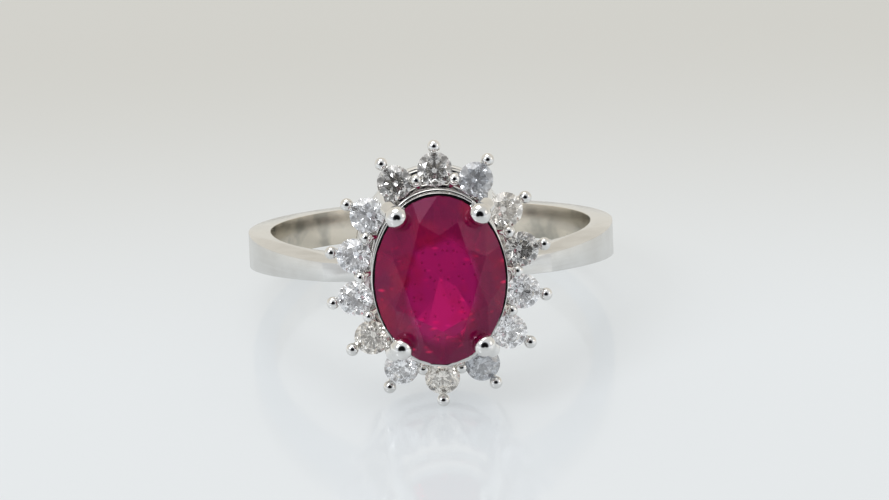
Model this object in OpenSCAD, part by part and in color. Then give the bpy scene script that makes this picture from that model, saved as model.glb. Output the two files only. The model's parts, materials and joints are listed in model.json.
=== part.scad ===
// Cluster ring: an oval centre stone in four ball claws, inside a halo of round brilliants.
// Every wire, rail and stone is a solid of its own, soldered or set to its neighbours.
// The ring lies on a table, on the back edge of its band and its lowest halo prong.
// Origin: centre of the finger hole. +Z is up from the table, -Y is towards the head.

/* [Finger] */
// Inner diameter of the finger hole
finger_d = 17; // [14:0.1:22]

/* [Shank] */
// Thickness of the band at the back
band_t = 1.18; // [0.9:0.02:2]
// Width of the band at the back and sides
band_w = 1.85; // [1.3:0.05:3]
// Width of the band where it meets the head
neck_w = 0.92; // [0.8:0.02:1]
// Distance from the middle of the ring to the outer edge of each shoulder's tip
shoulder_x = 4.9; // [4.7:0.05:5.6]

/* [Centre stone] */
// Size of the centre stone across the finger
stone_w = 6.7; // [5.8:0.1:8]
// Size of the centre stone along the finger
stone_l = 8.7; // [7.4:0.1:10]
// Height of its crown above the girdle
stone_crown = 1.1; // [0.7:0.05:1.6]
// Depth of its pavilion below the girdle
stone_depth = 2.85; // [2.3:0.05:3.4]
// Height of its girdle above the finger
stone_rise = 5.8; // [5.2:0.1:7.5]

/* [Halo] */
// Diameter of the round halo stones
halo_d = 1.8; // [1.5:0.05:2.1]
// Gap in plan between the centre stone and the halo stones
halo_gap = 0.17; // [0.15:0.01:0.4]
// Height of the halo stones' girdles above the finger
halo_rise = 3.4; // [3:0.1:3.8]
// Outward lean of the halo stones, in degrees
halo_lean = 12; // [0:1:20]

/* [Claws and prongs] */
// Diameter of each claw's wire
claw_d = 0.9; // [0.7:0.05:1.1]
// Diameter of each claw's ball
claw_ball_d = 1.2; // [1:0.05:1.4]
// Distance of a claw's wire outside the centre stone's girdle
claw_out = 0.55; // [0.5:0.05:0.65]
// Diameter of the halo prongs' wire
prong_d = 0.42; // [0.36:0.02:0.5]
// Diameter of the outer prongs' balls
prong_ball_d = 0.68; // [0.6:0.02:0.8]
// How far a bead laps over the girdle of the stone that it holds
bead_lap = 0.06; // [0.04:0.01:0.1]

/* [Gallery] */
// Thickness of the base rail on the finger
base_t = 1; // [0.8:0.05:1.3]
// Width of the base rail
base_w = 1.2; // [1.1:0.05:1.4]
// Height of the shoulders' tips above the finger
shoulder_rise = 2.1; // [1.6:0.05:2.1]
// Height of the outer rail's middle above the base rail
gallery_h = 0.62; // [0.5:0.02:0.8]
// Width and height of the thin rails
rail = 0.42; // [0.36:0.02:0.5]

/* [Fits] */
// Solder gap between metal pieces, and setting gap round a stone
gap = 0.01; // [0.005:0.005:0.03]

/* [Hidden] */
$fn = 64;
// The halo holds fourteen stones. The gaps after stones 2, 6, 9 and 13 hold the claws.
halo_count = 14;
claw_slots = [2, 6, 9, 13];
prong_slots = [1, 3, 4, 5, 7, 8, 10, 11, 12, 14];
// Proportions of a brilliant, as shares of its radius or height
table_share = 0.57;
star_share = 0.5;
lower_half_share = 0.74;
round_crown = 0.16;
round_depth = 0.43;
round_girdle = 0.045;
stone_girdle = 0.22;

finger_r = finger_d / 2;
band_r = finger_r + band_t;
shoulder_h = finger_r + shoulder_rise;
// Radius of the arc that each side of the band follows from its widest place up to its shoulder
side_run = band_r - shoulder_x;
side_r = (side_run * side_run + shoulder_h * shoulder_h) / (2 * side_run);

// The girdle is drawn as an oval of four arcs, two at the ends and two at the sides, which meet
// smoothly. Every other oval of the head stands a set distance outside it, or inside if negative.
// Each is cut into this many straight steps, which leave it within 0.01 mm of round.
oval_steps = 72;
half_w = stone_w / 2;
half_l = stone_l / 2;
tight_r = half_w * half_w / half_l;
end_r = tight_r + 0.285 * (half_w - tight_r);
long_r = (half_w * half_w + half_l * half_l - 2 * half_l * end_r) / (2 * (half_w - end_r));
end_c = half_l - end_r;
long_c = long_r - half_w;
turn = atan2(end_c, long_c);

halo_out = halo_gap + halo_d / 2;
// The inner rails have their outer faces against the claws' inner sides, lapped by this much
rail_bite = 0.06;
// A wire is this much thicker where it is bent
bend_swell = 1.06;
inner_rail_out = claw_out - claw_d / 2 - rail / 2 + rail_bite;
// The middle of the base rail stands this far outside the girdle
base_out = 0.35;
base_edge_out = base_out + base_w / 2;
outer_rail_out = base_edge_out - rail / 2;
// Where the prongs' wires stand on the base rail, the outer ones just inside its edge
foot_inset = 0.04;
outer_foot_out = base_edge_out - prong_d / 2 - foot_inset;
shared_foot_out = -0.1;
bearing_out = 0.14;
bearing_in = -0.5;

// How far things stand above or below the girdles, and the inner rail above the outer one
prong_ball_drop = 0.05;
bead_lift = 0.2;
inner_rail_lift = 0.3;
basket_drop = 1.7;
bearing_drop = 0.15;
bearing_t = 0.5;
claw_bend_drop = 0.35;
claw_ball_lift = 0.45;

// Heights above the centre of the finger hole
stone_h = finger_r + stone_rise;
halo_h = finger_r + halo_rise;
base_top_h = finger_r + base_t;
prong_ball_h = halo_h - prong_ball_drop;
bead_h = halo_h + bead_lift;
outer_rail_h = base_top_h + gallery_h;
inner_rail_h = outer_rail_h + inner_rail_lift;
basket_rail_h = stone_h - basket_drop;
bearing_high = stone_h - bearing_drop;
bearing_low = bearing_high - bearing_t;
claw_top_h = stone_h - claw_bend_drop;
claw_ball_h = stone_h + claw_ball_lift;
// Outward distance from a halo stone's centre to its outer ball, and inward to its beads' centres
prong_ball_out = halo_d / 2 + prong_ball_d / 2 - bead_lap;
bead_in = 0.38;

// The table touches the back of the band's lower edge and the lowest prong ball
prong_reach = half_l + halo_out + prong_ball_out;
rest_run = prong_ball_h + band_r;
rest_rise = prong_reach - band_w / 2;
rest_tilt = atan(rest_rise / rest_run) + asin(prong_ball_d / 2 / norm([rest_run, rest_rise]));

// A name with a two-digit number
function numbered(name, i) = str(name, i < 10 ? "0" : "", i);

// The point of the oval that stands out from the girdle, where the outward direction is dir
function spot(dir, out) =
    abs(sin(dir)) >= sin(turn)
        ? [(end_r + out) * cos(dir), sign(sin(dir)) * end_c + (end_r + out) * sin(dir)]
        : [-sign(cos(dir)) * long_c + (long_r + out) * cos(dir), (long_r + out) * sin(dir)];

// Outward direction at halo place i. The places are evenly spaced along the oval, with place 1 at
// the top, and a quarter of the oval is half an end arc and half a side arc.
end_run = (end_r + halo_out) * (90 - turn);
long_run = (long_r + halo_out) * turn;
function halo_dir(i) =
    let (place = (i - 1) / halo_count * 4)
    let (quarter = floor(place))
    let (part = quarter % 2 == 0 ? place - quarter : 1 - place + quarter)
    let (run = part * (end_run + long_run))
    let (swing = run < end_run
        ? run / (end_r + halo_out)
        : 90 - turn + (run - end_run) / (long_r + halo_out))
    quarter % 2 == 0 ? 90 * (quarter + 1) + swing : 90 * (quarter + 2) - swing;

// Points of a brilliant: table, stars, upper and lower girdle, pavilion, culet
function crown_z(x, g, crown) = g + crown * (1 - x) / (1 - table_share);
function brilliant_points(rx, ry, crown, depth, g) =
    let (star = table_share * cos(22.5) + (1 - table_share * cos(22.5)) * star_share)
    let (low = 1 - lower_half_share)
    let (star_z = crown_z(star * cos(22.5), g, crown))
    let (low_z = -g - depth * (1 - low * cos(22.5)))
    let (edge = cos(11.25))
    let (up_slope = (star_z - g) / (edge * (1 - star)))
    let (down_slope = (low_z + g) / (edge * (1 - low)))
    concat(
        [for (i = [0:7]) facet_point(rx, ry, table_share, 45 * i, g + crown)],
        [for (i = [0:7]) facet_point(rx, ry, star, 45 * i + 22.5, star_z)],
        [for (i = [0:31]) facet_point(rx, ry, 1, 11.25 * i, g - (i % 2) * up_slope * (1 - edge))],
        [for (i = [0:31]) facet_point(rx, ry, 1, 11.25 * i, -g - (i % 2) * down_slope * (1 - edge))],
        [for (i = [0:7]) facet_point(rx, ry, low, 45 * i + 22.5, low_z)],
        [[0, 0, -g - depth]]
    );
function facet_point(rx, ry, r, a, z) = [rx * r * cos(a), ry * r * sin(a), z];

// Faces of a brilliant, each clockwise seen from outside
brilliant_faces = concat(
    [[for (i = [7:-1:0]) i]],
    [for (i = [0:7]) [(i + 1) % 8, 8 + i, i]],
    [for (i = [0:7]) [8 + i, 16 + 4 * i, 8 + (i + 7) % 8, i]],
    [for (i = [0:7]) for (k = [0, 2]) [16 + (4 * i + k + 2) % 32, 17 + 4 * i + k, 16 + 4 * i + k, 8 + i]],
    [for (i = [0:31]) [16 + (i + 1) % 32, 48 + (i + 1) % 32, 48 + i, 16 + i]],
    [for (i = [0:7]) for (k = [0, 2]) [80 + i, 48 + 4 * i + k, 49 + 4 * i + k, 48 + (4 * i + k + 2) % 32]],
    [for (i = [0:7]) [80 + (i + 7) % 8, 48 + 4 * i, 80 + i, 88]]
);

// A brilliant with its girdle's middle at the origin
module brilliant(rx, ry, crown, depth, girdle_t) {
    polyhedron(points = brilliant_points(rx, ry, crown, depth, girdle_t / 2), faces = brilliant_faces);
}

// The round envelope of a brilliant with a radius of 1, which cuts its seats
module envelope(crown, depth, g) {
    star = table_share * cos(22.5) + (1 - table_share * cos(22.5)) * star_share;
    low = 1 - lower_half_share;
    rotate_extrude()
        polygon([
            [0, -g - depth],
            [low, -g - depth * (1 - low * cos(22.5))],
            [1, -g],
            [1, g],
            [star, crown_z(star * cos(22.5), g, crown)],
            [table_share, g + crown],
            [0, g + crown]
        ]);
}

// Places a piece of the head, drawn with +Z out of the head and +Y along the finger
module on_head() {
    rotate([90 - rest_tilt, 0, 0]) children();
}

// Places what is drawn in the plane straight out from the halo, with X out from halo place i
module at_place(i) {
    translate(spot(halo_dir(i), halo_out))
        rotate([0, 0, halo_dir(i)])
            children();
}

// A straight wire between two places [out, height] of one plane
module wire(from, to, d) {
    run = to - from;
    translate([from[0], 0, from[1]])
        rotate([0, atan2(run[0], run[1]), 0])
            cylinder(h = norm(run), d = d);
}

// The outline of the oval that stands out from the girdle
module oval(out) {
    polygon([for (i = [0:oval_steps - 1]) spot(360 * i / oval_steps, out)]);
}

// A flat ring between two such ovals
module oval_ring(inner_out, outer_out, low, high) {
    translate([0, 0, low])
        linear_extrude(high - low)
            difference() {
                oval(outer_out);
                oval(inner_out);
            }
}

// A thin rail of square wire
module thin_rail(out, h, grow = 0) {
    half = rail / 2 + grow;
    oval_ring(out - half, out + half, h - half, h + half);
}

// The centre stone, or what it cuts away from the metal that holds it
module ruby_shape(grow = 0) {
    translate([0, 0, stone_h])
        brilliant(half_w + grow, half_l + grow, stone_crown + grow, stone_depth + grow,
            stone_girdle + 2 * grow);
}

// Places a halo stone, or the seat that it cuts, with its girdle's middle at the origin
module at_diamond(i) {
    at_place(i)
        translate([0, 0, halo_h])
            rotate([0, halo_lean, 0])
                children();
}

module diamond_seat(i) {
    at_diamond(i)
        scale(halo_d / 2 + gap)
            envelope(2 * round_crown, 2 * round_depth, round_girdle);
}

// A plate round the oval, flat on top and curved to the finger underneath
module base_rail_shape() {
    difference() {
        oval_ring(base_edge_out - base_w, base_edge_out, finger_r / 2, base_top_h);
        rotate([90, 0, 0]) cylinder(r = finger_r, h = 2 * stone_l, center = true);
    }
}

// Everything below the base rail's top, which cuts the wires' feet flush
module below_base() {
    cylinder(r = stone_l, h = base_top_h + gap);
}

module inner_rail_shape(grow = 0) {
    thin_rail(inner_rail_out, inner_rail_h, grow);
}

module outer_rail_shape(grow = 0) {
    thin_rail(outer_rail_out, outer_rail_h, grow);
}

// The notch that the outer rail lies in, open on its outer side
module outer_rail_notch() {
    half = rail / 2 + gap;
    oval_ring(outer_rail_out - half, outer_rail_out + claw_d, outer_rail_h - half, outer_rail_h + half);
}

module basket_rail_shape(grow = 0) {
    thin_rail(inner_rail_out, basket_rail_h, grow);
}

module bearing_rail_shape(grow = 0) {
    oval_ring(bearing_in - grow, bearing_out + grow, bearing_low - grow, bearing_high + grow);
}

// The band seen along the finger: round at the back, two long arcs up to the shoulders in front
module band_outline() {
    intersection() {
        circle(r = band_r);
        translate([-band_r, 0]) square([2 * band_r, band_r]);
    }
    intersection() {
        translate([side_r - band_r, 0]) circle(r = side_r);
        translate([band_r - side_r, 0]) circle(r = side_r);
        translate([-band_r, -shoulder_h]) square([2 * band_r, shoulder_h + 0.01]);
    }
}

// The band seen from its side: full width at the back, filed to a taper towards the head
module band_taper() {
    polygon([
        [band_r + 1, -band_w / 2],
        [band_r + 1, band_w / 2],
        [0, band_w / 2],
        [-shoulder_h, neck_w / 2],
        [-shoulder_h - 1, neck_w / 2],
        [-shoulder_h - 1, -neck_w / 2],
        [-shoulder_h, -neck_w / 2],
        [0, -band_w / 2]
    ]);
}

module shank_shape() {
    difference() {
        intersection() {
            linear_extrude(band_w + 1, center = true) band_outline();
            rotate([90, 0, 90]) linear_extrude(3 * band_r, center = true) band_taper();
        }
        cylinder(r = finger_r, h = 2 * band_w + 2, center = true);
        rotate([90, 0, 0])
            linear_extrude(2 * shoulder_h) oval(base_edge_out + gap);
    }
}

module shank() {
    color("silver") rotate([-rest_tilt, 0, 0]) shank_shape();
}

module base_rail() {
    color("silver") on_head() base_rail_shape();
}

module inner_rail() {
    color("silver") on_head() inner_rail_shape();
}

module outer_rail() {
    color("silver") on_head() outer_rail_shape();
}

module basket_rail() {
    color("silver") on_head() basket_rail_shape();
}

// The seat under the centre stone's girdle, cut to the stone
module bearing_rail() {
    color("silver")
        on_head()
            difference() {
                bearing_rail_shape();
                ruby_shape(gap);
            }
}

module ruby() {
    color([0.7, 0.05, 0.28]) on_head() ruby_shape();
}

module diamond(i) {
    color([0.9, 0.92, 0.95])
        on_head()
            at_diamond(i)
                brilliant(halo_d / 2, halo_d / 2, round_crown * halo_d, round_depth * halo_d,
                    round_girdle * halo_d);
}

// A heavy wire that stands outside the centre stone and hooks its ball over the crown
module claw(k) {
    slot = claw_slots[k - 1];
    dir = halo_dir(slot + 0.5);
    color("silver")
        on_head()
            difference() {
                translate(spot(dir, claw_out))
                    rotate([0, 0, dir]) {
                        wire([0, base_top_h + gap], [0, claw_top_h], claw_d);
                        translate([0, 0, claw_top_h]) sphere(d = bend_swell * claw_d);
                        wire([0, claw_top_h], [-claw_out, claw_ball_h], claw_d);
                        translate([-claw_out, 0, claw_ball_h]) sphere(d = claw_ball_d);
                    }
                ruby_shape(gap);
                diamond_seat(slot);
                diamond_seat(slot + 1);
                bearing_rail_shape(gap);
                basket_rail_shape(gap);
                inner_rail_shape(gap);
                outer_rail_notch();
            }
}

// A thin wire up the outside of the outer rail, with a ball over its diamond's edge
module outer_prong(i) {
    rail_place = [base_edge_out + prong_d / 2 - rail_bite - halo_out, outer_rail_h];
    color("silver")
        on_head()
            difference() {
                at_place(i) {
                    wire([outer_foot_out - halo_out, base_top_h - prong_d], rail_place, prong_d);
                    translate([rail_place[0], 0, rail_place[1]]) sphere(d = bend_swell * prong_d);
                    wire(rail_place, [prong_ball_out, prong_ball_h], prong_d);
                    translate([prong_ball_out, 0, prong_ball_h]) sphere(d = prong_ball_d);
                }
                diamond_seat(i);
                outer_rail_shape(gap);
                below_base();
            }
}

// Diameter of the bead between diamonds i and i + 1, big enough to lap over both
function bead_d(i) =
    let (apart = norm(spot(halo_dir(i + 1), halo_out) - spot(halo_dir(i), halo_out)))
    2 * (norm([apart / 2, bead_in]) - halo_d / 2 + bead_lap);

// A wire from the base rail up between two diamonds, beaded over both
module shared_prong(k) {
    slot = prong_slots[k - 1];
    color("silver")
        on_head()
            difference() {
                at_place(slot + 0.5) {
                    wire([shared_foot_out - halo_out, base_top_h - prong_d], [-bead_in, bead_h], prong_d);
                    translate([-bead_in, 0, bead_h]) sphere(d = bead_d(slot));
                }
                diamond_seat(slot);
                diamond_seat(slot + 1);
                inner_rail_shape(gap);
                outer_rail_notch();
                below_base();
            }
}

shank();
base_rail();
inner_rail();
outer_rail();
basket_rail();
bearing_rail();
ruby();
for (i = [1:len(claw_slots)])
    claw(i);
for (i = [1:halo_count])
    diamond(i);
for (i = [1:halo_count])
    outer_prong(i);
for (i = [1:len(prong_slots)])
    shared_prong(i);
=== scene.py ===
# Cocktail ring: an oval ruby in four ball claws, in a halo of fourteen round brilliants.
# Metres, +Z up. The head is worked on in its own space, in millimetres, and then set in place.
import json
import math
import bpy
from mathutils import Matrix, Vector

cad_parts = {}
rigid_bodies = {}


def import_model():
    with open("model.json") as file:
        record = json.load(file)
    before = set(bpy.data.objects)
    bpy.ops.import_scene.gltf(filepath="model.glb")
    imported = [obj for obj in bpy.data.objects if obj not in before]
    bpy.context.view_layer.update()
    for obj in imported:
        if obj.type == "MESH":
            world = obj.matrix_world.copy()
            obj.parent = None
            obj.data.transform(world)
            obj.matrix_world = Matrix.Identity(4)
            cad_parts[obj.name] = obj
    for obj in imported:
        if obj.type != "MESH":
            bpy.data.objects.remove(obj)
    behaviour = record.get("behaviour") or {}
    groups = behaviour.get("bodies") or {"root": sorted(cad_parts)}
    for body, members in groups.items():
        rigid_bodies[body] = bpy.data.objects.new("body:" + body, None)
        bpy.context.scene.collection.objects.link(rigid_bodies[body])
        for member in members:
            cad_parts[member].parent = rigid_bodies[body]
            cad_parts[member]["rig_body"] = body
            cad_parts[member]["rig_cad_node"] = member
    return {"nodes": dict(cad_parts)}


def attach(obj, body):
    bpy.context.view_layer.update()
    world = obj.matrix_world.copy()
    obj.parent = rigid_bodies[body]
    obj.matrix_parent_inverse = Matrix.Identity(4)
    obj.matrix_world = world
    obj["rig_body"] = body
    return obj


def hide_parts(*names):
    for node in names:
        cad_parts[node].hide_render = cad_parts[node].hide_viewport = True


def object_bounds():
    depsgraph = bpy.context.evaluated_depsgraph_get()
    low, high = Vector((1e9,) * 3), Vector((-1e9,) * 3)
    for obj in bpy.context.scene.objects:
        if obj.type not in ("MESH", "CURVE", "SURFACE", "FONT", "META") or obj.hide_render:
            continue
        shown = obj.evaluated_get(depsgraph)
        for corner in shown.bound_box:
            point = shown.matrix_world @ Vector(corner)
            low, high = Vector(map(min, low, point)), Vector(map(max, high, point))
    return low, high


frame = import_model()
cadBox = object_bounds()
mm = 0.001

ring = {
    "restTilt": 15.6414,     # degrees: it lies on the back of its band and its lowest prong
}

head = {                     # millimetres; heights are from the middle of the finger hole
    "halfW": 3.35,           # the ruby's girdle
    "halfL": 4.35,
    "tightness": 0.285,      # how far the arcs at its ends are from the tightest to a half circle
    "haloOut": 1.07,         # from the girdle to the middle of the halo stones
    "haloCount": 14,
    "haloR": 0.9,
    "baseTop": 9.5,
}

# the girdle's oval is four arcs: two tight ones at the ends, two long ones at the sides
tightR = head["halfW"] ** 2 / head["halfL"]
endR = tightR + head["tightness"] * (head["halfW"] - tightR)
longR = ((head["halfW"] ** 2 + head["halfL"] ** 2 - 2 * head["halfL"] * endR)
         / (2 * (head["halfW"] - endR)))
endC = head["halfL"] - endR
longC = longR - head["halfW"]
turn = math.atan2(endC, longC)


def ovalSpot(angle, out):
    c, s = math.cos(angle), math.sin(angle)
    if abs(s) >= math.sin(turn):
        return Vector(((endR + out) * c, math.copysign(endC, s) + (endR + out) * s, 0))
    return Vector((-math.copysign(longC, c) + (longR + out) * c, (longR + out) * s, 0))


def haloAngle(i):
    # the places are evenly spaced along the oval, and place 1 is at the top
    endRun = (endR + head["haloOut"]) * (math.pi / 2 - turn)
    longRun = (longR + head["haloOut"]) * turn
    place = (i - 1) / head["haloCount"] * 4
    quarter = math.floor(place)
    part = place - quarter if quarter % 2 == 0 else 1 - place + quarter
    run = part * (endRun + longRun)
    if run < endRun:
        swing = run / (endR + head["haloOut"])
    else:
        swing = math.pi / 2 - turn + (run - endRun) / (longR + head["haloOut"])
    if quarter % 2 == 0:
        return math.pi / 2 * (quarter + 1) + swing
    return math.pi / 2 * (quarter + 2) - swing


# from the head's own space, in millimetres with +Z out of the head, to where it lies on the table
onHead = Matrix.Scale(mm, 4) @ Matrix.Rotation(math.radians(90 - ring["restTilt"]), 4, "X")


def outwardAt(angle, out):
    # the space at a spot of the oval, with +X straight out from it
    return onHead @ Matrix.Translation(ovalSpot(angle, out)) @ Matrix.Rotation(angle, 4, "Z")


def atHalo(i):
    return outwardAt(haloAngle(i), head["haloOut"])


# small tools for the bench work

def clearAll():
    for o in bpy.context.selected_objects:
        o.select_set(False)
    bpy.context.view_layer.objects.active = None


def take(obj):
    clearAll()
    obj.select_set(True)
    bpy.context.view_layer.objects.active = obj


def editMode(on):
    bpy.ops.object.mode_set(mode="EDIT" if on else "OBJECT")


def applied(obj, kind, **settings):
    take(obj)
    mod = obj.modifiers.new(kind.title(), kind)
    for key, value in settings.items():
        setattr(mod, key, value)
    bpy.ops.object.modifier_apply(modifier=mod.name)


def cutBy(obj, tool):
    applied(obj, "BOOLEAN", operation="DIFFERENCE", object=tool, solver="EXACT")
    bpy.data.objects.remove(tool)


def copyOf(obj, name):
    new = obj.copy()
    new.data = obj.data.copy()
    new.name = new.data.name = name
    new.parent = None
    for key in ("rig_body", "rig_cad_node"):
        if key in new:
            del new[key]
    bpy.context.scene.collection.objects.link(new)
    return new


benchSteps = {
    "join": 0.0005,          # millimetres; corners closer than this are one corner
    "flat": 0.5,             # degrees; faces that meet at less are one face
    "crease": 30,            # degrees; edges that are sharper stay sharp
}


def mergedCopy(node, name, toLocal):
    # a CAD piece with its loose triangles joined up, brought into the space where the work is done
    new = copyOf(frame["nodes"][node], name)
    new.data.transform(toLocal)
    take(new)
    editMode(True)
    bpy.ops.mesh.select_all(action="SELECT")
    bpy.ops.mesh.remove_doubles(threshold=benchSteps["join"])
    bpy.ops.mesh.dissolve_limited(angle_limit=math.radians(benchSteps["flat"]))
    editMode(False)
    return new


def settle(obj, place, node, material):
    # the finished piece goes to its place on the ring, in its mesh
    obj.data.transform(place)
    obj.data.update()
    take(obj)
    bpy.ops.object.shade_smooth_by_angle(angle=math.radians(benchSteps["crease"]))
    obj.data.materials.clear()
    obj.data.materials.append(material)
    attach(obj, "root")
    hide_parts(node)


# materials

def linear(hexCode):
    values = [int(hexCode[i:i + 2], 16) / 255 for i in (1, 3, 5)]
    return tuple(v / 12.92 if v <= 0.04045 else ((v + 0.055) / 1.055) ** 2.4 for v in values) + (1.0,)


def addNode(tree, kind, values=None, links=None, **settings):
    node = tree.nodes.new(kind)
    for key, value in settings.items():
        setattr(node, key, value)
    for key, value in (values or {}).items():
        node.inputs[key].default_value = value
    for key, source in (links or {}).items():
        tree.links.new(source, node.inputs[key])
    return node


def newMaterial(name):
    material = bpy.data.materials.new(name)
    material.use_nodes = True
    tree = material.node_tree
    tree.nodes.clear()
    return material, tree, addNode(tree, "ShaderNodeTexCoord").outputs["Object"]


whiteGold = {
    "light": "#E9E8E6",
    "dull": "#DBDAD7",
    "dullTo": 0.35,             # of the clouds; the rest shade over to light
    "lightFrom": 0.6,
    "cloudSize": 0.9 * mm,      # soft patches where the polishing mop was heavier or lighter
    "scratchSize": 0.06 * mm,   # real ones are finer, and would not show
    "scratchDepth": 0.004 * mm,
    "scratches": 0.12,
    "smooth": 0.05,
    "rough": 0.12,
}


def polishedWhiteGold():
    # cast and mop-polished: a bright mirror, broken by faint clouds and hairline scratches
    material, tree, spot = newMaterial("rhodium-plated white gold, polished")
    cloud = addNode(tree, "ShaderNodeTexNoise", {"Scale": 1 / whiteGold["cloudSize"], "Detail": 3.0},
                    {"Vector": spot}).outputs["Fac"]
    slanted = addNode(tree, "ShaderNodeMapping",
                      {"Scale": (1.0, 0.25, 1.0), "Rotation": (0.4, 0.3, 0.7)}, {"Vector": spot})
    scratch = addNode(tree, "ShaderNodeTexNoise",
                      {"Scale": 1 / whiteGold["scratchSize"], "Detail": 2.0},
                      {"Vector": slanted.outputs["Vector"]})
    shade = addNode(tree, "ShaderNodeMapRange",
                    {"From Min": whiteGold["dullTo"], "From Max": whiteGold["lightFrom"]},
                    {"Value": cloud})
    colour = addNode(tree, "ShaderNodeMix",
                     {6: linear(whiteGold["dull"]), 7: linear(whiteGold["light"])},
                     {0: shade.outputs["Result"]}, data_type="RGBA")
    rough = addNode(tree, "ShaderNodeMapRange",
                    {"From Min": 0.3, "From Max": 0.7, "To Min": whiteGold["smooth"],
                     "To Max": whiteGold["rough"]}, {"Value": cloud})
    bump = addNode(tree, "ShaderNodeBump",
                   {"Strength": whiteGold["scratches"], "Distance": whiteGold["scratchDepth"]},
                   {"Height": scratch.outputs["Fac"]})
    bsdf = addNode(tree, "ShaderNodeBsdfPrincipled", {"Metallic": 1.0},
                   {"Base Color": colour.outputs[2], "Roughness": rough.outputs["Result"],
                    "Normal": bump.outputs["Normal"]})
    addNode(tree, "ShaderNodeOutputMaterial", links={"Surface": bsdf.outputs["BSDF"]})
    return material


satin = {
    "light": "#DADAD8",
    "dull": "#CFCECB",
    "inside": "#CFC8BA",        # painted shade: the wall on the finger is painted darker and a little warm
    "insideShade": "#ABA89E",
    "holeR": 8.5 * mm,
    "insideFrom": 0.06 * mm,    # the outside's look fades out between these, outside the hole's wall
    "insideTo": 0.02 * mm,
    "lineSize": 0.05 * mm,      # emery lines, drawn a little coarser than they are
    "lineLength": 6.0 * mm,
    "lineDepth": 0.004 * mm,
    "lines": 0.07,
    "lineShare": 0.3,           # the rest of the pattern is clouds
    "cloudSize": 1.6 * mm,
    "smooth": 0.19,
    "rough": 0.26,
}


def satinWhiteGold():
    # papered along the band and worn soft: a sheen outside with faint lines round the finger,
    # painted shade inside, darker and warm with darker patches
    material, tree, spot = newMaterial("rhodium-plated white gold, satin")
    level = addNode(tree, "ShaderNodeMapping", {"Rotation": (math.radians(ring["restTilt"]), 0, 0)},
                    {"Vector": spot}).outputs["Vector"]
    stretch = (1 / satin["lineLength"], 1 / satin["lineLength"], 1 / satin["lineSize"])
    along = addNode(tree, "ShaderNodeMapping", {"Scale": stretch}, {"Vector": level})
    lines = addNode(tree, "ShaderNodeTexNoise", {"Scale": 1.0, "Detail": 3.0},
                    {"Vector": along.outputs["Vector"]}).outputs["Fac"]
    cloud = addNode(tree, "ShaderNodeTexNoise", {"Scale": 1 / satin["cloudSize"], "Detail": 3.0},
                    {"Vector": spot}).outputs["Fac"]
    part = addNode(tree, "ShaderNodeMath", {1: satin["lineShare"]}, {0: lines}, operation="MULTIPLY")
    both = addNode(tree, "ShaderNodeMath", {1: 1 - satin["lineShare"]},
                   {0: cloud, 2: part.outputs["Value"]},
                   operation="MULTIPLY_ADD").outputs["Value"]
    shade = addNode(tree, "ShaderNodeMapRange", {"From Min": 0.38, "From Max": 0.6}, {"Value": both})
    outer = addNode(tree, "ShaderNodeMix", {6: linear(satin["dull"]), 7: linear(satin["light"])},
                    {0: shade.outputs["Result"]}, data_type="RGBA")
    # painted shade: the wall on the finger darker and warm, with darker painted patches
    shadePatches = addNode(tree, "ShaderNodeMapRange", {"From Min": 0.4, "From Max": 0.58}, {"Value": cloud})
    inner = addNode(tree, "ShaderNodeMix",
                    {6: linear(satin["insideShade"]), 7: linear(satin["inside"])},
                    {0: shadePatches.outputs["Result"]}, data_type="RGBA")
    flat = addNode(tree, "ShaderNodeVectorMath", {1: (1, 1, 0)}, {0: level}, operation="MULTIPLY")
    fromAxis = addNode(tree, "ShaderNodeVectorMath", links={0: flat.outputs["Vector"]},
                       operation="LENGTH")
    onWall = addNode(tree, "ShaderNodeMapRange",
                     {"From Min": satin["holeR"] + satin["insideFrom"],
                      "From Max": satin["holeR"] + satin["insideTo"]},
                     {"Value": fromAxis.outputs["Value"]})
    colour = addNode(tree, "ShaderNodeMix",
                     links={0: onWall.outputs["Result"], 6: outer.outputs[2], 7: inner.outputs[2]},
                     data_type="RGBA")
    rough = addNode(tree, "ShaderNodeMapRange",
                    {"From Min": 0.35, "From Max": 0.65, "To Min": satin["smooth"],
                     "To Max": satin["rough"]}, {"Value": both})
    bump = addNode(tree, "ShaderNodeBump",
                   {"Strength": satin["lines"], "Distance": satin["lineDepth"]}, {"Height": lines})
    bsdf = addNode(tree, "ShaderNodeBsdfPrincipled", {"Metallic": 1.0},
                   {"Base Color": colour.outputs[2], "Roughness": rough.outputs["Result"],
                    "Normal": bump.outputs["Normal"]})
    addNode(tree, "ShaderNodeOutputMaterial", links={"Surface": bsdf.outputs["BSDF"]})
    return material


ruby = {
    "table": "#D62C86",         # painted light: the bright body colour where the pavilion sends the light back
    "crown": "#961A58",         # painted shade: deeper round the outside
    "zone": "#D0284E",          # redder colour zones
    "zoneSize": 1.7 * mm,
    "litW": 1.8 * mm,           # the bright patch of painted light in the middle, half its width and length
    "litL": 2.75 * mm,
    "litY": -0.35 * mm,         # it sits a little low
    "litEdge": (1.38, 1.12),    # where it starts and where it is full, in its own half widths
    "ragged": 0.5,              # how much the zones fray its edge
    "speck": "#7A1040",
    "speckSize": 0.34 * mm,     # crystals and needles of silk
    "speckShow": 0.45,
    "flash": "#FF2350",         # painted light: glowing sparks for light that comes back out through the pavilion
    "flashSize": 1.5 * mm,
    "flashShow": 0.8,
    "deep": "#E0205A",
    "density": 200.0,
    "clear": 0.62,              # the rest of the light scatters on the silk
    "sheen": "#B08098",         # the polish is worn, and throws back less than a fresh one
    "polish": (0.02, 0.07),
    "glow": 0.05,               # painted glow: a little red of its own all over, standing in for the ruby's fluorescence
    "flashGlow": 0.5,
}


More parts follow.
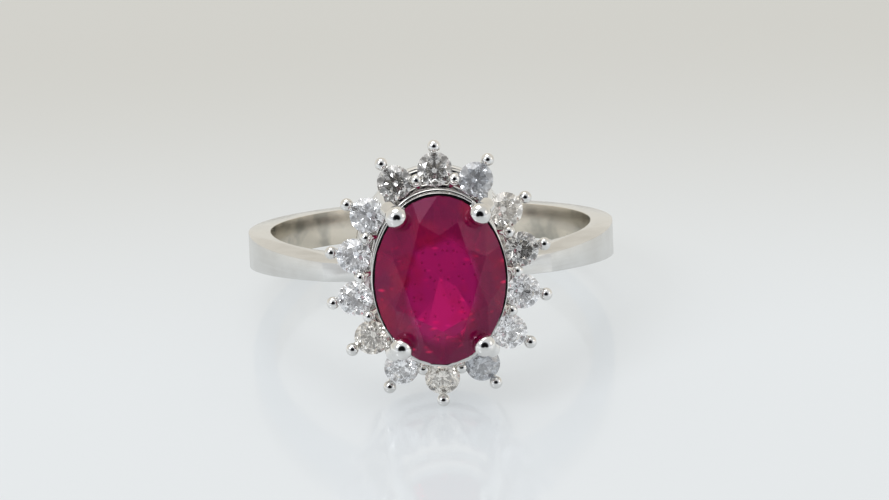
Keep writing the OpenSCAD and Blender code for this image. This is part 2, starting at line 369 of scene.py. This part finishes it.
def cutRuby():
    # natural ruby, cut and polished: deep magenta, zoned, with silk and specks that keep it from
    # being clear glass; painted light in a bright middle patch and glowing sparks, painted shade
    # round it
    material, tree, spot = newMaterial("natural ruby, cut and polished")
    level = addNode(tree, "ShaderNodeMapping",
                    {"Rotation": (math.radians(ring["restTilt"] - 90), 0, 0)},
                    {"Vector": spot}).outputs["Vector"]
    zones = addNode(tree, "ShaderNodeTexNoise", {"Scale": 1 / ruby["zoneSize"], "Detail": 2.0},
                    {"Vector": spot}).outputs["Fac"]

    # painted light: a bright patch in the middle, where the pavilion sends light back, fading to
    # painted shade round the outside
    shrink = {1: (1 / ruby["litW"], 1 / ruby["litL"], 0), 2: (0, -ruby["litY"] / ruby["litL"], 0)}
    fromLit = addNode(tree, "ShaderNodeVectorMath", shrink, {0: level}, operation="MULTIPLY_ADD")
    litRun = addNode(tree, "ShaderNodeVectorMath", links={0: fromLit.outputs["Vector"]},
                     operation="LENGTH")
    frayed = addNode(tree, "ShaderNodeMath", {1: ruby["ragged"]},
                     {0: zones, 2: litRun.outputs["Value"]}, operation="MULTIPLY_ADD")
    lit = addNode(tree, "ShaderNodeMapRange",
                  {"From Min": ruby["litEdge"][0], "From Max": ruby["litEdge"][1]},
                  {"Value": frayed.outputs["Value"]}, interpolation_type="SMOOTHSTEP")
    body = addNode(tree, "ShaderNodeMix", {6: linear(ruby["crown"]), 7: linear(ruby["table"])},
                   {0: lit.outputs["Result"]}, data_type="RGBA")
    zoneMask = addNode(tree, "ShaderNodeMapRange",
                       {"From Min": 0.5, "From Max": 0.75, "To Max": 0.5}, {"Value": zones})
    zoned = addNode(tree, "ShaderNodeMix", {7: linear(ruby["zone"])},
                    {0: zoneMask.outputs["Result"], 6: body.outputs[2]}, data_type="RGBA")

    cells = addNode(tree, "ShaderNodeTexVoronoi", {"Scale": 1 / ruby["speckSize"]},
                    {"Vector": spot})
    speckMask = addNode(tree, "ShaderNodeMapRange",
                        {"From Min": 0.05, "From Max": 0.32, "To Min": ruby["speckShow"],
                         "To Max": 0.0}, {"Value": cells.outputs["Distance"]})
    specked = addNode(tree, "ShaderNodeMix", {7: linear(ruby["speck"])},
                      {0: speckMask.outputs["Result"], 6: zoned.outputs[2]}, data_type="RGBA")

    # painted light: glowing sparks, and a faint painted glow all over
    slanted = addNode(tree, "ShaderNodeMapping",
                      {"Scale": (1.0, 2.2, 0.7), "Rotation": (0.3, 0.6, 0.5)}, {"Vector": level})
    sparks = addNode(tree, "ShaderNodeTexVoronoi", {"Scale": 1 / ruby["flashSize"]},
                     {"Vector": slanted.outputs["Vector"]})
    sparkMask = addNode(tree, "ShaderNodeMapRange",
                        {"From Min": 0.06, "From Max": 0.18, "To Min": ruby["flashShow"],
                         "To Max": 0.0}, {"Value": sparks.outputs["Distance"]})
    glow = addNode(tree, "ShaderNodeMix", {7: linear(ruby["flash"])},
                   {0: sparkMask.outputs["Result"], 6: specked.outputs[2]}, data_type="RGBA")
    glowStrength = addNode(tree, "ShaderNodeMath", {1: ruby["flashGlow"], 2: ruby["glow"]},
                           {0: sparkMask.outputs["Result"]}, operation="MULTIPLY_ADD")

    polish = addNode(tree, "ShaderNodeMapRange",
                     {"To Min": ruby["polish"][0], "To Max": ruby["polish"][1]}, {"Value": zones})
    bsdf = addNode(tree, "ShaderNodeBsdfPrincipled",
                   {"Transmission Weight": ruby["clear"], "IOR": 1.77, "Specular IOR Level": 0.3,
                    "Specular Tint": linear(ruby["sheen"])},
                   {"Base Color": specked.outputs[2], "Roughness": polish.outputs["Result"],
                    "Emission Color": glow.outputs[2],
                    "Emission Strength": glowStrength.outputs["Value"]})
    inner = addNode(tree, "ShaderNodeVolumeAbsorption",
                    {"Color": linear(ruby["deep"]), "Density": ruby["density"]})
    addNode(tree, "ShaderNodeOutputMaterial",
            links={"Surface": bsdf.outputs["BSDF"], "Volume": inner.outputs["Volume"]})
    return material


diamondCloud = 0.5 * mm        # soft patches inside the stones

diamonds = {                   # fire: how strongly some facets glow, painted light for light they throw straight back
    "clear": {"pale": "#FFFDF9", "deep": "#DDDAD5", "clarity": 0.95, "rough": 0.0, "fire": 0.012,
              "stones": (1, 2, 12)},
    "bright": {"pale": "#FFFFFF", "deep": "#E2E5EA", "clarity": 0.95, "rough": 0.0, "fire": 0.11,
               "stones": (3, 4, 5, 7, 10, 11)},
    "warm": {"pale": "#FCF9F3", "deep": "#D6CFC3", "clarity": 0.95, "rough": 0.0, "fire": 0.1,
             "stones": (6, 8, 13)},
    "milky": {"pale": "#F0F2F5", "deep": "#C2C8D0", "clarity": 0.84, "rough": 0.02, "fire": 0.05,
              "stones": (9, 14)},
}


def cutDiamond(kind):
    # natural diamond, brilliant cut: painted fire, each facet a little bluer, warmer or darker than
    # the next by which way it faces, and a painted glow on some for light sent straight back
    look = diamonds[kind]
    material, tree, spot = newMaterial(f"natural diamond, {kind}")
    normal = addNode(tree, "ShaderNodeNewGeometry").outputs["Normal"]
    cloud = addNode(tree, "ShaderNodeTexNoise", {"Scale": 1 / diamondCloud, "Detail": 2.0},
                    {"Vector": spot})
    # painted fire: the colour shifts from facet to facet by which way each faces, with soft clouds
    # mixed in
    facet = addNode(tree, "ShaderNodeTexNoise", {"Scale": 3.1, "Detail": 1.0}, {"Vector": normal})
    tone = addNode(tree, "ShaderNodeMath", {1: 0.35},
                   {0: cloud.outputs["Fac"], 2: facet.outputs["Fac"]}, operation="MULTIPLY_ADD")
    shade = addNode(tree, "ShaderNodeMapRange", {"From Min": 0.5, "From Max": 0.78},
                    {"Value": tone.outputs["Value"]})
    colour = addNode(tree, "ShaderNodeMix", {6: linear(look["deep"]), 7: linear(look["pale"])},
                     {0: shade.outputs["Result"]}, data_type="RGBA")
    # painted glints: some facets, picked by which way they face, glow in their own colour
    sides = addNode(tree, "ShaderNodeTexNoise", {"Scale": 4.7, "Detail": 0.0}, {"Vector": normal})
    flash = addNode(tree, "ShaderNodeMapRange",
                    {"From Min": 0.42, "From Max": 0.58, "To Max": look["fire"]},
                    {"Value": sides.outputs["Fac"]})
    bsdf = addNode(tree, "ShaderNodeBsdfPrincipled",
                   {"Transmission Weight": look["clarity"], "IOR": 2.42, "Roughness": look["rough"]},
                   {"Base Color": colour.outputs[2], "Emission Color": colour.outputs[2],
                    "Emission Strength": flash.outputs["Result"]})
    addNode(tree, "ShaderNodeOutputMaterial", links={"Surface": bsdf.outputs["BSDF"]})
    return material


polished = polishedWhiteGold()
satinBand = satinWhiteGold()

# the wires are made in millimetres, then brought down to size

claws = {
    "wireD": 0.9,
    "ballD": 1.2,
    "out": 0.55,               # from the ruby's girdle
    "bendH": 13.95,
    "ballH": 14.75,
    "gaps": (2, 6, 9, 13),     # each stands after this halo stone
    "grain": 0.05,
}

prongs = {                     # distances are from the middle of the halo stone
    "wireD": 0.42,
    "ballD": 0.68,
    "footOut": -0.37,
    "railOut": 0.03,
    "railH": 10.12,
    "ballOut": 1.18,
    "ballH": 11.85,
    "grain": 0.03,
}

beads = {
    "wireD": 0.42,
    "footOut": -1.17,
    "ballIn": 0.38,
    "ballH": 12.1,
    "lap": 0.06,
    "gaps": (1, 3, 4, 5, 7, 8, 10, 11, 12, 14),
    "grain": 0.03,
}


wireWork = {
    "sides": 24,
    "ballSegments": 32,
    "ballRings": 16,
    "polish": 0.5,             # each pass of the smoothing, and how many passes
    "passes": 6,
}


def bentWire(name, spots, wireD, ballD, grain):
    # a wire through spots (out, height), with its end melted into a ball
    clearAll()
    bpy.ops.mesh.primitive_circle_add(vertices=wireWork["sides"], radius=wireD / 2,
                                      fill_type="NGON", location=(spots[0][0], 0, spots[0][1]))
    wire = bpy.context.object
    wire.name = name
    bpy.ops.object.transform_apply(location=True, rotation=True, scale=True)
    lean = 0.0
    editMode(True)
    bpy.ops.mesh.select_all(action="SELECT")
    for start, end in zip(spots, spots[1:]):
        run = (end[0] - start[0], 0, end[1] - start[1])
        newLean = math.atan2(run[0], run[2])
        bpy.ops.transform.rotate(value=lean - newLean, orient_axis="Y",
                                 center_override=(start[0], 0, start[1]))
        lean = newLean
        bpy.ops.mesh.extrude_region_move(TRANSFORM_OT_translate={"value": run})
    editMode(False)
    clearAll()
    bpy.ops.mesh.primitive_uv_sphere_add(segments=wireWork["ballSegments"],
                                         ring_count=wireWork["ballRings"], radius=ballD / 2,
                                         location=(spots[-1][0], 0, spots[-1][1]))
    wire.select_set(True)
    bpy.context.view_layer.objects.active = wire
    bpy.ops.object.join()
    # the ball and the wire melt together
    applied(wire, "REMESH", mode="VOXEL", voxel_size=grain, use_smooth_shade=True)
    applied(wire, "SMOOTH", factor=wireWork["polish"], iterations=wireWork["passes"])
    return wire


print("claws")
for number, gap in enumerate(claws["gaps"], 1):
    place = outwardAt(haloAngle(gap + 0.5), claws["out"])
    spots = [(0, head["baseTop"]), (0, claws["bendH"]), (-claws["out"], claws["ballH"])]
    claw = bentWire(f"ballClaw{number}", spots, claws["wireD"], claws["ballD"], claws["grain"])
    cutBy(claw, mergedCopy("ruby", "seatCutter", place.inverted()))
    settle(claw, place, f"claw_{number}", polished)

print("halo prongs")
spots = [(prongs["footOut"], head["baseTop"]), (prongs["railOut"], prongs["railH"]),
         (prongs["ballOut"], prongs["ballH"])]
prong = bentWire("haloProng", spots, prongs["wireD"], prongs["ballD"], prongs["grain"])
cutBy(prong, mergedCopy("diamond_01", "seatCutter", atHalo(1).inverted()))
for i in range(1, head["haloCount"] + 1):
    settle(copyOf(prong, f"haloProng{i:02d}"), atHalo(i), f"outer_prong_{i:02d}", polished)
bpy.data.objects.remove(prong)

print("shared beads")
apart = (ovalSpot(haloAngle(5), head["haloOut"]) - ovalSpot(haloAngle(4), head["haloOut"])).length
# a bead laps a little over the girdles of the stones on both sides of it
beadD = 2 * (math.hypot(apart / 2, beads["ballIn"]) - head["haloR"] + beads["lap"])
spots = [(beads["footOut"], head["baseTop"]), (-beads["ballIn"], beads["ballH"])]
bead = bentWire("bead", spots, beads["wireD"], beadD, beads["grain"])
for number, gap in enumerate(beads["gaps"], 1):
    piece = copyOf(bead, f"sharedBead{number:02d}")
    place = atHalo(gap + 0.5)
    for stone in (gap, gap % head["haloCount"] + 1):
        cutBy(piece, mergedCopy(f"diamond_{stone:02d}", "seatCutter", place.inverted()))
    settle(piece, place, f"shared_prong_{number:02d}", polished)
bpy.data.objects.remove(bead)

softEdges = {                  # millimetres worn off the edges of the filed pieces
    "shank": 0.05,
    "base_rail": 0.05,
    "inner_rail": 0.07,
    "outer_rail": 0.07,
    "basket_rail": 0.07,
    "bearing_rail": 0.03,
}

edgeWork = {
    "steps": 3,
    "sharp": 40,               # degrees; only edges sharper than this are worn
}

shoulder = {
    "tipX": 4.35,              # each tip is filed off at a slant down to here
    "tipH": 10.58,
    "slant": 32,               # degrees
}


def fileTips(piece):
    lean = math.radians(shoulder["slant"])
    take(piece)
    editMode(True)
    for side in (-1, 1):
        bpy.ops.mesh.select_all(action="SELECT")
        bpy.ops.mesh.bisect(plane_co=(side * shoulder["tipX"], 0, shoulder["tipH"]),
                            plane_no=(side * math.sin(lean), 0, math.cos(lean)),
                            use_fill=True, clear_outer=True)
    editMode(False)


print("band and rails")
for node, worn in softEdges.items():
    piece = mergedCopy(node, node.replace("_", " ").title().replace(" ", ""), onHead.inverted())
    if node == "shank":
        fileTips(piece)
    applied(piece, "BEVEL", width=worn, segments=edgeWork["steps"], limit_method="ANGLE",
            angle_limit=math.radians(edgeWork["sharp"]))
    settle(piece, onHead, node, satinBand if node == "shank" else polished)



def dress(node, material):
    frame["nodes"][node].data.materials.clear()
    frame["nodes"][node].data.materials.append(material)


print("stones")
dress("ruby", cutRuby())
for kind, look in diamonds.items():
    material = cutDiamond(kind)
    for stone in look["stones"]:
        dress(f"diamond_{stone:02d}", material)

# the table, the lights and the camera

studio = {
    "table": "#8C8F91",
    "tableFar": "#7C7C79",     # it goes a little creamy behind the ring, between these places
    "farFrom": -10 * mm,
    "farTo": 40 * mm,
    "tableGlow": 1.75,         # milky acrylic, lit from under as well
    "tableRough": 0.1,
    "tableSize": 6,            # metres
    "tableGap": 0.02 * mm,     # the ring stands this far off it
    "warm": "#EDE8DE",         # the tent behind
    "cool": "#E6EAF0",         # the tent in front
    "front": "#121114",        # the dark room behind the camera, and which way it is
    "frontWay": (0, -0.95, 0.31),
    "frontEdge": (0.68, 0.9),
    "backdrop": "#DCDDD9",
    "strength": 0.92,
}


def whiteTable():
    clearAll()
    bpy.ops.mesh.primitive_plane_add(size=studio["tableSize"],
                                     location=(0, 0, cadBox[0].z - studio["tableGap"]))
    floor = bpy.context.object
    floor.name = "table"
    material, tree, spot = newMaterial("milky acrylic table")
    away = addNode(tree, "ShaderNodeSeparateXYZ", links={"Vector": spot}).outputs["Y"]
    far = addNode(tree, "ShaderNodeMapRange",
                  {"From Min": studio["farFrom"], "From Max": studio["farTo"]}, {"Value": away},
                  interpolation_type="SMOOTHSTEP")
    colour = addNode(tree, "ShaderNodeMix",
                     {6: linear(studio["table"]), 7: linear(studio["tableFar"])},
                     {0: far.outputs["Result"]}, data_type="RGBA")
    bsdf = addNode(tree, "ShaderNodeBsdfPrincipled",
                   {"Roughness": studio["tableRough"], "Emission Strength": studio["tableGlow"]},
                   {"Base Color": colour.outputs[2], "Emission Color": colour.outputs[2]})
    addNode(tree, "ShaderNodeOutputMaterial", links={"Surface": bsdf.outputs["BSDF"]})
    floor.data.materials.append(material)


softboxes = {                  # metres and watts; each faces the ring
    "overhead": {"at": (-0.06, 0.08, 0.45), "size": (0.3, 0.3), "power": 0.55,
                 "colour": "#FFFFFF"},
    "left window": {"at": (-0.3, -0.22, 0.34), "size": (0.12, 0.2), "power": 0.6,
                    "colour": "#F6F9FF"},
    "right fill": {"at": (0.42, -0.1, 0.18), "size": (0.2, 0.2), "power": 0.1,
                   "colour": "#FFF6EA"},
}


def softbox(name, lamp):
    data = bpy.data.lights.new(name, "AREA")
    data.shape = "RECTANGLE"
    data.size, data.size_y = lamp["size"]
    data.energy = lamp["power"]
    data.color = linear(lamp["colour"])[:3]
    light = bpy.data.objects.new(name, data)
    light.location = lamp["at"]
    light.rotation_euler = (-Vector(lamp["at"])).to_track_quat("-Z", "Y").to_euler()
    bpy.context.scene.collection.objects.link(light)


def whiteTent():
    world = bpy.data.worlds.new("tent")
    bpy.context.scene.world = world
    world.use_nodes = True
    tree = world.node_tree
    tree.nodes.clear()
    way = addNode(tree, "ShaderNodeTexCoord").outputs["Generated"]
    behind = addNode(tree, "ShaderNodeSeparateXYZ", links={"Vector": way}).outputs["Y"]
    side = addNode(tree, "ShaderNodeMapRange", {"From Min": -0.6, "From Max": 0.6}, {"Value": behind})
    cloth = addNode(tree, "ShaderNodeMix", {6: linear(studio["cool"]), 7: linear(studio["warm"])},
                    {0: side.outputs["Result"]}, data_type="RGBA")
    front = addNode(tree, "ShaderNodeVectorMath", {1: studio["frontWay"]}, {0: way},
                    operation="DOT_PRODUCT")
    mask = addNode(tree, "ShaderNodeMapRange",
                   {"From Min": studio["frontEdge"][0], "From Max": studio["frontEdge"][1]},
                   {"Value": front.outputs["Value"]}, interpolation_type="SMOOTHSTEP")
    tent = addNode(tree, "ShaderNodeMix", {7: linear(studio["front"])},
                   {0: mask.outputs["Result"], 6: cloth.outputs[2]}, data_type="RGBA")
    seen = addNode(tree, "ShaderNodeLightPath").outputs["Is Camera Ray"]
    colour = addNode(tree, "ShaderNodeMix", {7: linear(studio["backdrop"])},
                     {0: seen, 6: tent.outputs[2]}, data_type="RGBA")
    light = addNode(tree, "ShaderNodeBackground", {"Strength": studio["strength"]},
                    {"Color": colour.outputs[2]})
    addNode(tree, "ShaderNodeOutputWorld", links={"Surface": light.outputs["Background"]})


camera = {
    "distance": 350.0,         # millimetres from the middle of the ring
    "elevation": 23.734,
    "azimuth": -1.845,
    "roll": -1.684,
    "aim": (0.698, -0.214, -0.427),
    "lens": 266.3,             # a long close-up lens on a 36 mm frame
}


def closeUpCamera():
    data = bpy.data.cameras.new("camera")
    data.lens = camera["lens"]
    data.sensor_width = 36
    data.clip_start, data.clip_end = 0.01, 10
    cam = bpy.data.objects.new("camera", data)
    el, az, roll = (math.radians(camera[key]) for key in ("elevation", "azimuth", "roll"))
    back = Vector((math.sin(az) * math.cos(el), -math.cos(az) * math.cos(el), math.sin(el)))
    right = Vector((math.cos(az), math.sin(az), 0))
    up = back.cross(right)
    x = right * math.cos(roll) + up * math.sin(roll)
    y = up * math.cos(roll) - right * math.sin(roll)
    spot = (Vector(camera["aim"]) + back * camera["distance"]) * mm
    cam.matrix_world = Matrix.Translation(spot) @ Matrix((x, y, back)).transposed().to_4x4()
    bpy.context.scene.collection.objects.link(cam)
    bpy.context.scene.camera = cam


print("table, lights and camera")
whiteTable()
whiteTent()
for name, lamp in softboxes.items():
    softbox(name, lamp)
bpy.context.scene.view_settings.view_transform = "Standard"
closeUpCamera()
